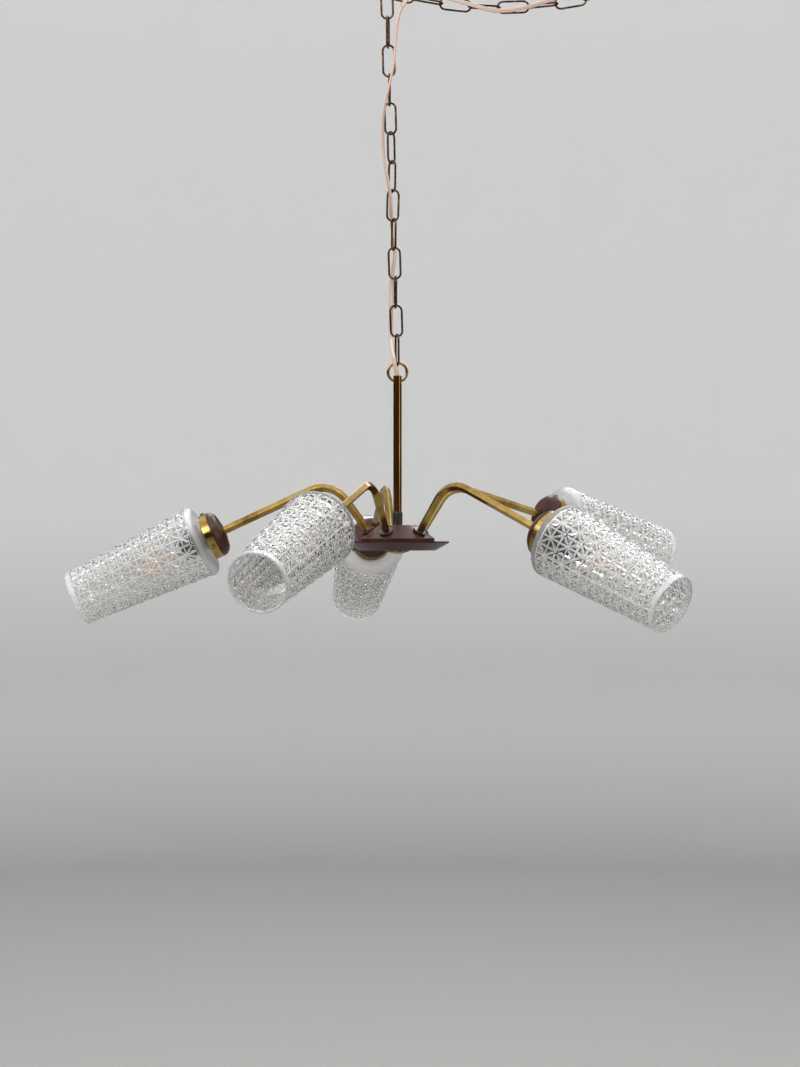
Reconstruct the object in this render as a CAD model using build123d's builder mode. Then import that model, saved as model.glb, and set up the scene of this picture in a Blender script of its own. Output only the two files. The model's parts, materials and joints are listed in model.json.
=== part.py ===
"""Five arm chandelier hung from a swag hook, with pressed glass tube shades.

Millimetres. The origin is where the swag hook's screw meets the ceiling, +Z is
up, the ceiling is z = 0, +X runs towards the ceiling canopy and -Y is the front.
"""
from build123d import *
import os
from math import asin, atan2, cos, degrees, pi, radians, sin, sqrt, tan

os.makedirs("parts", exist_ok=True)

# ---------------------------------------------------------------- driving sizes
GAP = 0.3                  # air between pieces that move past each other
SNUG = 0.05                # air round a screw or a nipple in its hole

# Ceiling hook
hook_wire = 4.5
hook_bend = 12.0           # radius of the bowl, to the middle of the wire
hook_neck_bend = 6.0
hook_drop = 59.25          # ceiling to the middle of the wire in the bowl
hook_screw_r = 2.5
hook_screw_length = 25.0
hook_flange_r = 8.0
hook_flange_thick = 3.0
hook_tip_angle = 25.0      # how far the tip rises past level

# Chain
link_wire = 2.5
link_width = 16.2
link_inside = 35.0         # inside length of a link
link_slack = 0.3           # air where one link bears on the next
drop_lean = 1.67           # degrees from plumb, top to the left
drop_turns = (0, 80, 0, 94, -16, 55, 124, 192, 109, 0, 98, 0, -75)
swag_links = 9
swag_radius = 500.0        # the swag's curve
swag_low = 137.0           # hook to the swag's lowest point
swag_behind = 3.3          # the swag's first link sits behind the drop's

# Ceiling canopy
canopy_r = 55.0
canopy_depth = 28.0
canopy_wall = 1.2
canopy_corner = 14.0
loop_wire = 3.5
loop_bend = 8.0
loop_boss_r = 8.0
loop_thread_r = 5.0
loop_thread_length = 22.0
loop_nut_r = 8.5
loop_nut_thick = 4.0
hook_flange_chamfer = 1.0
flex_from_loop = 24.0      # canopy's middle to the flex's hole
flex_behind = -9.5         # the hole sits in front of the ceiling hook

# Twin flex
flex_d = 5.0
flex_hole_r = 2.9
flex_in_stem = 2.0
flex_in_canopy = 3.0

# Suspension ring and stem
ring_wire = 3.4
ring_bend = 11.3
stem_r = 5.0
stem_bore_r = 4.1
ring_to_stem_top = 7.3     # ring's lowest point up to the stem's end
stem_length = 179.2        # stem's end down to the hub cover
collar_r = 6.0
collar_length = 15.6
collar_round = 0.5
stem_end_round = 0.35

# Hub
cover_top_r = 22.0
cover_r = 44.5
cover_cone_height = 16.2
cover_lip = 3.4
cover_wall = 1.2
cover_round = 1.6
tray_r = 62.0
tray_rim = 1.6
tray_floor_r = 45.6
tray_depth = 10.9
tray_wall = 1.3
tray_floor_round = 1.2
finial_r = 13.8
finial_flange = 1.4
finial_dome = 3.2
terminal_size = (34.0, 14.0, 9.0)
terminal_screw_r = 1.6
terminal_head_deep = 1.5
terminal_floor = 2.0
terminal_round = 1.0
terminal_gap = 2.0         # block to stem

# Arms, A to E, going round the hub from the back
arm_count = 5
arm_first_azimuth = 103.0
arm_turn = (-5.0, 1.4, 2.0, 1.0, 1.0)          # each arm about its own nipple
arm_droop = (26.4, 24.7, 19.6, 24.6, 14.9)     # far end below level
arm_root_r = 34.3
arm_side = 7.6
arm_edge_round = 1.1
arm_bore_r = 2.4
arm_rise = 48.0
arm_bend = 35.1
arm_reach = 114.5
nipple_r = 4.0
nipple_inner = 9.0         # nipple inside the hub
nipple_outer = 8.5         # nipple inside the cup
washer_r = 8.2
washer_thick = 2.6
washer_lift = 0.4
washer_round = 0.6
arm_nut_r = 6.6
arm_nut_thick = 3.5
arm_nut_lift = 1.0

# Cup, gallery and holder, measured along the shade's axis from the arm's end
cup_back_r = 23.9
cup_front_r = 27.4
cup_dome = 2.6
cup_crown_in = 3.0         # the dome ends this far inside the back's radius
cup_crown = 1.6            # turn from the dome to the flare
cup_flare = 6.0            # end of the flare past the dome
cup_length = 11.8
cup_wall = 1.2
gallery_length = 9.8
gallery_r = 27.9
gallery_wall = 1.4
gallery_screws = 3
screw_r = 1.5
screw_head_r = 2.6
screw_head_thick = 2.0
holder_r = 13.5
holder_length = 52.0
holder_back = 2.6
holder_bore_r = 7.3
holder_bore_depth = 24.0
holder_chamfer = 2.0
holder_shoulder = 4.0
holder_round = 0.8

# Shade
shade_neck_length = 10.0
shade_neck_stands = 1.6    # the neck's root stands clear of the gallery
shade_gap = 0.7            # neck to gallery, all round
shade_wall = 3.4
shade_shoulder = 26.0      # arm's end to the shade's shoulder
shade_shoulder_r = 44.6
shade_mouth_r = 34.0
shade_length = 171.5       # shoulder to mouth
shade_corner = 7.0

# Bulb
bulb_cap_r = 7.0
bulb_cap_length = 19.0
bulb_cap_tip = 3.0         # the cap narrows to its contact over this length
bulb_contact_r = 2.8
bulb_r = 17.5
bulb_length = 82.0
bulb_neck_r = 8.5
bulb_belly = 0.42          # widest place, as a share of the glass
bulb_wall = 0.8
bulb_tip_r = 2.0           # flat of the pip at the end

# ---------------------------------------------------------------- worked out
link_pitch = link_inside - link_slack
link_bend = (link_width - link_wire) / 2
link_straight = link_inside + link_wire - 2 * link_bend
lean = radians(drop_lean)
hook_z = -hook_drop
drop_up = Vector(-sin(lean), 0, cos(lean))
hook_point = Vector(0, 0, hook_z)


def first_centre(wire):
    """Middle of a link beyond the middle of the wire that it hangs on."""
    return link_inside / 2 - wire / 2 - link_slack


drop_length = first_centre(hook_wire) + (len(drop_turns) - 1) * link_pitch + first_centre(ring_wire)
ring_top = hook_point - drop_up * drop_length
stem_x = ring_top.X
ring_centre_z = ring_top.Z - ring_bend
ring_bottom_z = ring_top.Z - 2 * ring_bend
stem_top_z = ring_bottom_z + ring_to_stem_top
cover_top_z = stem_top_z - stem_length
cover_edge_z = cover_top_z - cover_cone_height
tray_top_z = cover_edge_z - cover_lip
tray_floor_z = tray_top_z - tray_depth
cone_slope = atan2(cover_cone_height, cover_r - cover_top_r)
leg_angle = 90 - degrees(cone_slope)
arm_root_z = cover_top_z - (arm_root_r - cover_top_r) * tan(cone_slope)

swag_start = -asin(swag_low / swag_radius)
swag_low_z = hook_z - swag_radius * (1 - cos(swag_start))
swag_length = first_centre(hook_wire) + (swag_links - 1) * link_pitch + first_centre(loop_wire)


def swag_plane(distance, turned):
    """Plane of the swag at a distance along its curve: local Z along the chain."""
    angle = swag_start + distance / swag_radius
    point = (
        swag_low + swag_radius * sin(angle),
        swag_behind,
        swag_low_z + swag_radius * (1 - cos(angle)),
    )
    across = (-sin(angle), 0, cos(angle))
    if turned:
        across = (0, 1, 0)
    return Plane(origin=point, x_dir=across, z_dir=(cos(angle), 0, sin(angle)))


loop_point = swag_plane(swag_length, False).origin
canopy_x = loop_point.X
loop_centre_z = loop_point.Z + loop_bend


def level_at(x, y, z):
    """Level plane at a point."""
    return Plane(origin=(x, y, z))


# ---------------------------------------------------------------- ceiling hook
hook_centre_z = hook_z + hook_bend
neck_rise = sqrt((hook_bend + hook_neck_bend) ** 2 - hook_neck_bend ** 2)
neck_z = hook_centre_z + neck_rise
neck_angle = degrees(atan2(neck_rise, hook_neck_bend))

with BuildPart() as swag_hook:
    with BuildSketch(Plane.XY.offset(-hook_flange_thick)):
        Circle(hook_flange_r)
    extrude(amount=hook_flange_thick)
    chamfer(swag_hook.edges().group_by(Axis.Z)[0], hook_flange_chamfer)
    with BuildLine(Plane.YZ) as hook_path:
        Line((0, -hook_flange_thick / 2), (0, neck_z))
        CenterArc((hook_neck_bend, neck_z), hook_neck_bend, 180, neck_angle)
        CenterArc((0, hook_centre_z), hook_bend, neck_angle, -(neck_angle + 180 + hook_tip_angle))
    with BuildSketch(Plane(origin=(0, 0, -hook_flange_thick / 2), z_dir=(0, 0, -1))):
        Circle(hook_wire / 2)
    sweep(path=hook_path.wire())
    with BuildSketch():
        Circle(hook_screw_r)
    extrude(amount=hook_screw_length)
swag_hook.part.label = "swag_hook"

# ---------------------------------------------------------------- chain links
with BuildPart() as link:
    with BuildLine(Plane.XZ) as link_path:
        Line((link_bend, 0), (link_bend, link_straight / 2))
        CenterArc((0, link_straight / 2), link_bend, 0, 180)
        Line((-link_bend, link_straight / 2), (-link_bend, 0))
    with BuildSketch(Plane(origin=(link_bend, 0, 0), z_dir=(0, 0, 1))):
        Circle(link_wire / 2)
    sweep(path=link_path.wire())
    mirror(about=Plane.XY)


def drop_plane(number):
    """Plane of link `number` of the drop, 0 at the hook: local Z up the chain."""
    centre = hook_point - drop_up * (first_centre(hook_wire) + number * link_pitch)
    level = Plane(origin=centre, x_dir=(cos(lean), 0, sin(lean)), z_dir=drop_up)
    return level.rotated((0, 0, drop_turns[number]))


with BuildPart() as chain_top_link:
    with Locations(drop_plane(0).location):
        add(link.part)
chain_top_link.part.label = "chain_top_link"

with BuildPart() as chain_links:
    with Locations(*[drop_plane(number).location for number in range(1, len(drop_turns))]):
        add(link.part)
chain_links.part.label = "chain_links"

with BuildPart() as swag_chain:
    swag_steps = [first_centre(hook_wire) + number * link_pitch for number in range(swag_links)]
    swag_planes = [swag_plane(step, number % 2 == 1) for number, step in enumerate(swag_steps)]
    with Locations(*[plane.location for plane in swag_planes]):
        add(link.part)
swag_chain.part.label = "swag_chain"

# ---------------------------------------------------------------- ceiling canopy
flex_entry_x = canopy_x - flex_from_loop
flex_entry_y = flex_behind

with BuildPart() as ceiling_canopy:
    with BuildSketch(Plane.XZ.offset(-swag_behind)):
        with BuildLine():
            Polyline(
                (canopy_x, 0), (canopy_x + canopy_r, 0), (canopy_x + canopy_r, -canopy_wall * 2),
                (canopy_x + canopy_r - canopy_corner, -canopy_depth), (canopy_x, -canopy_depth), close=True,
            )
        make_face()
    revolve(axis=Axis((canopy_x, swag_behind, 0), (0, 0, 1)))
    corner = ceiling_canopy.edges().filter_by(GeomType.CIRCLE).group_by(Axis.Z)[0]
    fillet(corner, canopy_corner / 2)
    offset(amount=-canopy_wall, openings=ceiling_canopy.faces().sort_by(Axis.Z)[-1])
    with Locations((canopy_x, swag_behind, -canopy_depth)):
        Cylinder(loop_thread_r + SNUG, 3 * canopy_wall, mode=Mode.SUBTRACT)
    with Locations((flex_entry_x, flex_entry_y, -canopy_depth)):
        Cylinder(flex_hole_r, 3 * canopy_wall, mode=Mode.SUBTRACT)
ceiling_canopy.part.label = "ceiling_canopy"

with BuildPart() as canopy_loop:
    with BuildSketch(level_at(canopy_x, swag_behind, loop_centre_z)):
        with Locations((0, loop_bend)):
            Circle(loop_wire / 2)
    revolve(axis=Axis((canopy_x, swag_behind, loop_centre_z), (1, 0, 0)))
    with BuildSketch(level_at(canopy_x, swag_behind, -canopy_depth)):
        Circle(loop_boss_r)
    extrude(amount=loop_centre_z + loop_bend - loop_wire / 4 + canopy_depth)
    with BuildSketch(level_at(canopy_x, swag_behind, -canopy_depth)):
        Circle(loop_thread_r)
    extrude(amount=loop_thread_length)
    with BuildSketch(level_at(canopy_x, swag_behind, canopy_wall - canopy_depth)):
        RegularPolygon(loop_nut_r, 6)
    extrude(amount=loop_nut_thick)
canopy_loop.part.label = "canopy_loop"

# ---------------------------------------------------------------- ring and stem
with BuildPart() as suspension_ring:
    with BuildSketch(Plane.XY.offset(ring_centre_z)):
        with Locations((stem_x + ring_bend, 0)):
            Circle(ring_wire / 2)
    revolve(axis=Axis((stem_x, 0, ring_centre_z), (0, 1, 0)))
suspension_ring.part.label = "suspension_ring"

ring_sag = ring_bend - sqrt(ring_bend ** 2 - stem_r ** 2)
ring_hole_r = (ring_wire + ring_sag) / 2 + 2 * GAP
stem_end_z = tray_floor_z - tray_wall / 2

with BuildPart() as stem_tube:
    with BuildSketch(level_at(stem_x, 0, stem_end_z)):
        Circle(stem_r)
        Circle(stem_bore_r, mode=Mode.SUBTRACT)
    extrude(amount=stem_top_z - stem_end_z)
    fillet(stem_tube.edges().group_by(Axis.Z)[-1], stem_end_round)
    with Locations(Location((stem_x, 0, ring_bottom_z + ring_sag / 2), (0, 90, 0))):
        Cylinder(ring_hole_r, 3 * stem_r, mode=Mode.SUBTRACT)
stem_tube.part.label = "stem_tube"

with BuildPart() as stem_collar:
    with BuildSketch(level_at(stem_x, 0, cover_top_z)):
        Circle(collar_r)
        Circle(stem_r + SNUG, mode=Mode.SUBTRACT)
    extrude(amount=collar_length)
    fillet(stem_collar.edges().group_by(Axis.Z)[-1].sort_by(SortBy.RADIUS)[-1], collar_round)
stem_collar.part.label = "stem_collar"

# ---------------------------------------------------------------- hub
hub_axis = Axis((stem_x, 0, 0), (0, 0, 1))


def arm_root(index):
    """Plane at an arm's root: local Z up the leg, local Y level, across the arm."""
    azimuth = radians(arm_first_azimuth + index * 360 / arm_count)
    leg = radians(leg_angle)
    outward = Vector(cos(azimuth), sin(azimuth), 0)
    up = outward * cos(leg) + Vector(0, 0, sin(leg))
    centre = outward * arm_root_r + Vector(stem_x, 0, arm_root_z)
    level = Plane(origin=centre, x_dir=outward * sin(leg) - Vector(0, 0, cos(leg)), z_dir=up)
    return level.rotated((0, 0, arm_turn[index]))


with BuildPart() as hub_cover:
    with BuildSketch(Plane.XZ):
        with BuildLine():
            Polyline(
                (stem_x, cover_top_z), (stem_x + cover_top_r, cover_top_z),
                (stem_x + cover_r, cover_edge_z),
                (stem_x + cover_r, tray_top_z), (stem_x, tray_top_z), close=True,
            )
        make_face()
    revolve(axis=hub_axis)
    fillet(hub_cover.edges().filter_by(GeomType.CIRCLE).group_by(Axis.Z)[1:], cover_round)
    offset(amount=-cover_wall, openings=hub_cover.faces().sort_by(Axis.Z)[0])
    with Locations((stem_x, 0, cover_top_z)):
        Cylinder(stem_r + SNUG, 3 * cover_wall, mode=Mode.SUBTRACT)
    with Locations(*[arm_root(index).location for index in range(arm_count)]):
        Cylinder(nipple_r + GAP, 4 * cover_wall, mode=Mode.SUBTRACT)
hub_cover.part.label = "hub_cover"

with BuildPart() as hub_tray:
    with BuildSketch(Plane.XZ):
        with BuildLine():
            Polyline(
                (stem_x, tray_top_z), (stem_x + tray_r, tray_top_z),
                (stem_x + tray_r, tray_top_z - tray_rim),
                (stem_x + tray_floor_r, tray_floor_z), (stem_x, tray_floor_z), close=True,
            )
        make_face()
    revolve(axis=hub_axis)
    fillet(hub_tray.edges().filter_by(GeomType.CIRCLE).group_by(Axis.Z)[0], tray_floor_round)
    with BuildSketch(Plane.XZ):
        with BuildLine():
            inner_slope = (tray_r - tray_floor_r) / (tray_depth - tray_rim)
            inner_top_r = tray_floor_r + (tray_depth - 2 * tray_wall) * inner_slope - 2 * tray_wall
            Polyline(
                (stem_x, tray_top_z - tray_wall), (stem_x + inner_top_r, tray_top_z - tray_wall),
                (stem_x + tray_floor_r - tray_wall, tray_floor_z + tray_wall),
                (stem_x, tray_floor_z + tray_wall), close=True,
            )
        make_face()
    revolve(axis=hub_axis, mode=Mode.SUBTRACT)
    with Locations((stem_x, 0, tray_top_z)):
        Cylinder(cover_r - 3 * cover_wall, 3 * tray_wall, mode=Mode.SUBTRACT)
    with Locations((stem_x, 0, tray_floor_z)):
        Cylinder(stem_r + SNUG, 4 * tray_wall, mode=Mode.SUBTRACT)
hub_tray.part.label = "hub_tray"

with BuildPart() as finial_nut:
    with BuildSketch(level_at(stem_x, 0, tray_floor_z)):
        Circle(finial_r)
    extrude(amount=-finial_flange)
    dome_r = finial_r - finial_flange
    dome_sphere = (dome_r ** 2 + finial_dome ** 2) / (2 * finial_dome)
    with Locations((stem_x, 0, tray_floor_z - finial_flange - finial_dome + dome_sphere)):
        Sphere(dome_sphere)
    split(bisect_by=Plane.XY.offset(tray_floor_z), keep=Keep.BOTTOM)
    with BuildSketch(level_at(stem_x, 0, tray_floor_z)):
        Circle(stem_r + SNUG)
    extrude(amount=stem_end_z - GAP - tray_floor_z, mode=Mode.SUBTRACT)
finial_nut.part.label = "finial_nut"

with BuildPart() as terminal_block:
    terminal_y = -stem_r - terminal_gap - terminal_size[1] / 2
    terminal_z = tray_floor_z + tray_wall
    with Locations((stem_x, terminal_y, terminal_z)):
        Box(*terminal_size, align=(Align.CENTER, Align.CENTER, Align.MIN))
    with Locations((stem_x, terminal_y, terminal_z + terminal_size[2])):
        with GridLocations(terminal_size[0] / 3, terminal_size[1] / 2, 3, 2):
            CounterBoreHole(
                terminal_screw_r, 2 * terminal_screw_r, terminal_head_deep,
                terminal_size[2] - terminal_floor,
            )
    fillet(terminal_block.edges().filter_by(Axis.Z).group_by(SortBy.LENGTH)[-1], terminal_round)
terminal_block.part.label = "terminal_block"

# ---------------------------------------------------------------- arms and lamps


def arm_end(index):
    """Plane at an arm's far end: local Z along the shade's axis, local X level."""
    droop = radians(arm_droop[index])
    leg = radians(leg_angle)
    # In the arm's own upright plane, out from the root and up.
    out = arm_rise * cos(leg) + arm_bend * (sin(leg) + sin(droop)) + arm_reach * cos(droop)
    up = arm_rise * sin(leg) + arm_bend * (cos(droop) - cos(leg)) - arm_reach * sin(droop)
    root = arm_root(index)
    # The root plane's local Z is the leg and its local X is square to it, outward and down.
    point = (out * sin(leg) - up * cos(leg), 0, out * cos(leg) + up * sin(leg))
    along = (sin(leg + droop), 0, cos(leg + droop))
    origin = root.from_local_coords(Vector(*point))
    z_dir = root.from_local_coords(Vector(*along)) - root.origin
    x_dir = root.from_local_coords(Vector(0, 1, 0)) - root.origin
    return Plane(origin=origin, x_dir=x_dir, z_dir=z_dir)


def side_on(plane):
    """Plane through another's local Z: local Y along it, local X as it was."""
    return Plane(origin=plane.origin, x_dir=plane.x_dir, z_dir=-plane.y_dir)


gallery_back = cup_length
gallery_front = gallery_back + gallery_length
neck_r = gallery_r - gallery_wall - shade_gap
neck_start = gallery_front - shade_neck_length + shade_neck_stands
mouth = shade_shoulder + shade_length
holder_front = holder_back + holder_length
bulb_start = holder_front + 2 * GAP
cap_start = bulb_start - bulb_cap_length
bulb_end = bulb_start + bulb_length
lamp_parts = {}


def bulb_outline(inset):
    """Half outline of a candle bulb, or of its hollow with an inset."""
    belly = (bulb_r - inset, bulb_start + bulb_length * bulb_belly)
    ThreePointArc(
        (bulb_neck_r - inset, bulb_start),
        (bulb_neck_r + (bulb_r - bulb_neck_r) * 0.72 - inset, bulb_start + bulb_length * bulb_belly * 0.45),
        belly,
    )
    ThreePointArc(
        belly,
        (bulb_r * 0.64 - inset * 0.8, bulb_start + bulb_length * 0.83 - inset * 0.6),
        (bulb_tip_r, bulb_end - inset),
    )
    Line((bulb_tip_r, bulb_end - inset), (0, bulb_end - inset))


for index in range(arm_count):
    number = index + 1
    root = arm_root(index)
    end = arm_end(index)
    along = Axis(end.origin, end.z_dir)
    leg_start = root.offset(washer_lift + washer_thick)

    with BuildPart() as arm:
        with BuildLine(side_on(root)) as arm_path:
            leg_line = Line((0, washer_lift + washer_thick), (0, arm_rise))
            bend_arc = JernArc(leg_line @ 1, (0, 1), arm_bend, -leg_angle - arm_droop[index])
            PolarLine(bend_arc @ 1, arm_reach, direction=bend_arc % 1)
        with BuildSketch(leg_start):
            RectangleRounded(arm_side, arm_side, arm_edge_round, rotation=45)
        sweep(path=arm_path.wire())
        with BuildSketch(leg_start):
            Circle(nipple_r)
        extrude(amount=-nipple_inner - washer_lift - washer_thick)
        with BuildSketch(end):
            Circle(nipple_r)
        extrude(amount=nipple_outer)
        with BuildSketch(root.offset(-nipple_inner)):
            Circle(arm_bore_r)
        extrude(amount=nipple_inner + washer_lift + washer_thick, mode=Mode.SUBTRACT)
        with BuildSketch(leg_start):
            Circle(arm_bore_r)
        sweep(path=arm_path.wire(), mode=Mode.SUBTRACT)
        with BuildSketch(end):
            Circle(arm_bore_r)
        extrude(amount=nipple_outer, mode=Mode.SUBTRACT)
    lamp_parts[f"arm_{number}"] = arm.part

    with BuildPart() as arm_fixings:
        with BuildSketch(root.offset(washer_lift)):
            Circle(washer_r)
            Circle(nipple_r + SNUG, mode=Mode.SUBTRACT)
        extrude(amount=washer_thick)
        fillet(arm_fixings.edges().filter_by(GeomType.CIRCLE).group_by(SortBy.RADIUS)[-1], washer_round)
        with BuildSketch(root.offset(-cover_wall - arm_nut_lift)):
            RegularPolygon(arm_nut_r, 6)
            Circle(nipple_r + SNUG, mode=Mode.SUBTRACT)
        extrude(amount=-arm_nut_thick)
    lamp_parts[f"arm_fixings_{number}"] = arm_fixings.part

    with BuildPart() as cup:
        with BuildSketch(side_on(end)):
            with BuildLine():
                Polyline(
                    (0, 0), (nipple_r * 2, 0), (cup_back_r - cup_crown_in, cup_dome),
                    (cup_back_r, cup_dome + cup_crown),
                    (cup_front_r, cup_dome + cup_flare), (cup_front_r, cup_length), (0, cup_length),
                    close=True,
                )
            make_face()
        revolve(axis=along)
        offset(amount=-cup_wall, openings=cup.faces().sort_by(along)[-1])
        with BuildSketch(end.offset(-cup_wall)):
            Circle(nipple_r + SNUG)
        extrude(amount=3 * cup_wall, mode=Mode.SUBTRACT)
    lamp_parts[f"cup_{number}"] = cup.part

    with BuildPart() as gallery:
        with BuildSketch(end.offset(gallery_back)):
            Circle(gallery_r)
            Circle(gallery_r - gallery_wall, mode=Mode.SUBTRACT)
        extrude(amount=gallery_length)
        with BuildSketch(end.offset(gallery_back)):
            Circle(gallery_r)
            Circle(holder_r + 2 * GAP, mode=Mode.SUBTRACT)
        extrude(amount=gallery_wall)
        with Locations(end.offset((gallery_back + gallery_front) / 2).location):
            with PolarLocations(gallery_r - gallery_wall / 2, gallery_screws, start_angle=90):
                Cylinder(screw_r + SNUG, 3 * gallery_wall, rotation=(0, 90, 0), mode=Mode.SUBTRACT)
        fillet(gallery.edges().filter_by(GeomType.CIRCLE).group_by(along)[-1], gallery_wall * 0.35)
    lamp_parts[f"gallery_{number}"] = gallery.part

    with BuildPart() as gallery_screw_set:
        shank = gallery_wall + shade_gap - GAP
        with Locations(end.offset((gallery_back + gallery_front) / 2).location):
            with PolarLocations(gallery_r - shank / 2, gallery_screws, start_angle=90):
                Cylinder(screw_r, shank, rotation=(0, 90, 0))
            with PolarLocations(gallery_r + screw_head_thick / 2, gallery_screws, start_angle=90):
                Cylinder(screw_head_r, screw_head_thick, rotation=(0, 90, 0))
    lamp_parts[f"gallery_screws_{number}"] = gallery_screw_set.part

    with BuildPart() as lampholder:
        with BuildSketch(side_on(end)):
            with BuildLine():
                Polyline(
                    (0, holder_back), (holder_r - holder_chamfer, holder_back),
                    (holder_r, holder_back + holder_shoulder),
                    (holder_r, holder_front), (holder_bore_r, holder_front),
                    (holder_bore_r, holder_front - holder_bore_depth), (0, holder_front - holder_bore_depth),
                    close=True,
                )
            make_face()
        revolve(axis=along)
        with BuildSketch(end.offset(holder_back)):
            Circle(nipple_r + SNUG)
        extrude(amount=nipple_outer - holder_back + GAP, mode=Mode.SUBTRACT)
        fillet(lampholder.edges().filter_by(GeomType.CIRCLE).group_by(along)[-1], holder_round)
    lamp_parts[f"lampholder_{number}"] = lampholder.part

    with BuildPart() as shade:
        with BuildSketch(side_on(end)):
            with BuildLine():
                Polyline(
                    (neck_r, neck_start), (neck_r, shade_shoulder - shade_wall / 2),
                    (shade_shoulder_r, shade_shoulder), (shade_mouth_r, mouth),
                )
                Polyline(
                    (shade_mouth_r, mouth), (shade_mouth_r - shade_wall, mouth),
                    (shade_shoulder_r - shade_wall, shade_shoulder + shade_wall),
                    (neck_r - shade_wall, shade_shoulder + shade_wall / 2),
                    (neck_r - shade_wall, neck_start),
                    (neck_r, neck_start),
                )
            make_face()
        revolve(axis=along)
        rings = shade.edges().filter_by(GeomType.CIRCLE).sort_by(SortBy.RADIUS)
        fillet(rings[-1], shade_corner)
    lamp_parts[f"shade_{number}"] = shade.part

    with BuildPart() as bulb_cap:
        with BuildSketch(side_on(end)):
            with BuildLine():
                Polyline(
                    (0, cap_start), (bulb_contact_r, cap_start), (bulb_cap_r, cap_start + bulb_cap_tip),
                    (bulb_cap_r, bulb_start), (0, bulb_start), close=True,
                )
            make_face()
        revolve(axis=along)
    lamp_parts[f"bulb_cap_{number}"] = bulb_cap.part

    with BuildPart() as bulb_glass:
        with BuildSketch(side_on(end)):
            with BuildLine():
                Line((bulb_neck_r - bulb_wall, bulb_start), (bulb_neck_r, bulb_start))
                bulb_outline(0)
                Line((0, bulb_end), (0, bulb_end - bulb_wall))
                bulb_outline(bulb_wall)
            make_face()
        revolve(axis=along)
    lamp_parts[f"bulb_glass_{number}"] = bulb_glass.part

# ---------------------------------------------------------------- twin flex
# One route from the stem's mouth to the canopy. It stays outside the links, front
# and back by turns, and rests on the second link of the swag.
drop_route = [
    (stem_x + 0.1, -0.2, stem_top_z - flex_in_stem),
    (10.1, -6.0, -511.0),
    (8.2, -7.0, -498.0),
    (5.8, -1.0, -484.0),
    (4.5, 5.7, -470.0),
    (5.2, 6.6, -446.0),
    (4.9, 6.6, -422.0),
    (5.9, 8.0, -401.0),
    (9.6, 8.6, -382.0),
    (10.4, 10.6, -365.0),
    (7.4, 11.4, -347.0),
    (5.2, 9.5, -331.0),
    (5.2, -4.8, -306.0),
    (0.6, -7.6, -284.0),
    (-3.8, -4.4, -260.0),
    (-4.5, -3.2, -234.0),
    (-4.3, -5.6, -212.0),
    (-0.6, -11.2, -194.0),
    (3.2, -13.2, -176.0),
    (8.2, -10.0, -153.0),
    (10.2, -5.8, -131.0),
    (11.4, -4.4, -111.0),
    (13.0, -4.2, -97.0),
    (16.0, -4.8, -84.5),
]
swag_route = [
    (21.5, -5.6, -73.5),
    (29.5, -6.4, -66.0),
    (40.5, -6.6, -62.8),
    (57.0, -6.0, -65.0),
    (78.0, -6.6, -70.8),
    (101.0, -9.7, -78.5),
    (132.0, -10.2, -87.6),
    (168.0, -10.0, -82.4),
    (200.0, -9.8, -71.6),
    (228.0, -9.7, -62.0),
    (254.0, -9.6, -55.6),
    (271.0, -9.5, -49.0),
    (flex_entry_x - 0.5, flex_entry_y, -38.0),
    (flex_entry_x, flex_entry_y, -canopy_depth + flex_in_canopy),
]
split_point = tuple((a + b) / 2 for a, b in zip(drop_route[-1], swag_route[0]))


def route_radii(points):
    """Largest arc that each corner's two runs allow, by 0.45 of the shorter run."""
    corners = []
    for before, here, after in zip(points, points[1:], points[2:]):
        run_in = Vector(*here) - Vector(*before)
        run_out = Vector(*after) - Vector(*here)
        half_turn = radians(run_in.get_angle(run_out)) / 2
        corners.append(0.45 * min(run_in.length, run_out.length) / tan(half_turn))
    return corners


flex_parts = {}
for name, route in (("flex_drop", drop_route + [split_point]), ("flex_swag", [split_point] + swag_route)):
    radii = route_radii(route)
    print(name, "radii", [round(radius, 1) for radius in radii])
    with BuildPart() as flex:
        with BuildLine() as flex_path:
            FilletPolyline(*route, radius=radii)
        with BuildSketch(Plane(origin=flex_path.wire() @ 0, z_dir=flex_path.wire() % 0)):
            Circle(flex_d / 2)
        sweep(path=flex_path.wire())
    flex_length = flex_path.wire().length
    full = flex_length * pi * flex_d ** 2 / 4
    print(name, "length", round(flex_length, 1), "volume ratio", round(flex.part.volume / full, 4))
    flex_parts[name] = flex.part

# ---------------------------------------------------------------- files
fixed_parts = {
    builder.part.label: builder.part
    for builder in (
        swag_hook, chain_top_link, chain_links, swag_chain, ceiling_canopy, canopy_loop, suspension_ring,
        stem_tube, stem_collar, hub_cover, hub_tray, finial_nut, terminal_block,
    )
}
for name, piece in {**fixed_parts, **flex_parts, **lamp_parts}.items():
    piece.label = name
    export_step(piece, f"parts/{name}.step")
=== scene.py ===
"""Five arm chandelier: the looks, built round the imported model.

Metres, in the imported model's own frame: the origin is the ceiling hook's screw,
+Z is up and the camera looks along +Y.
"""
import json
from math import cos, pi, radians, sin

import bmesh
import bpy
import numpy as np
from mathutils import Matrix, Vector


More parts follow.
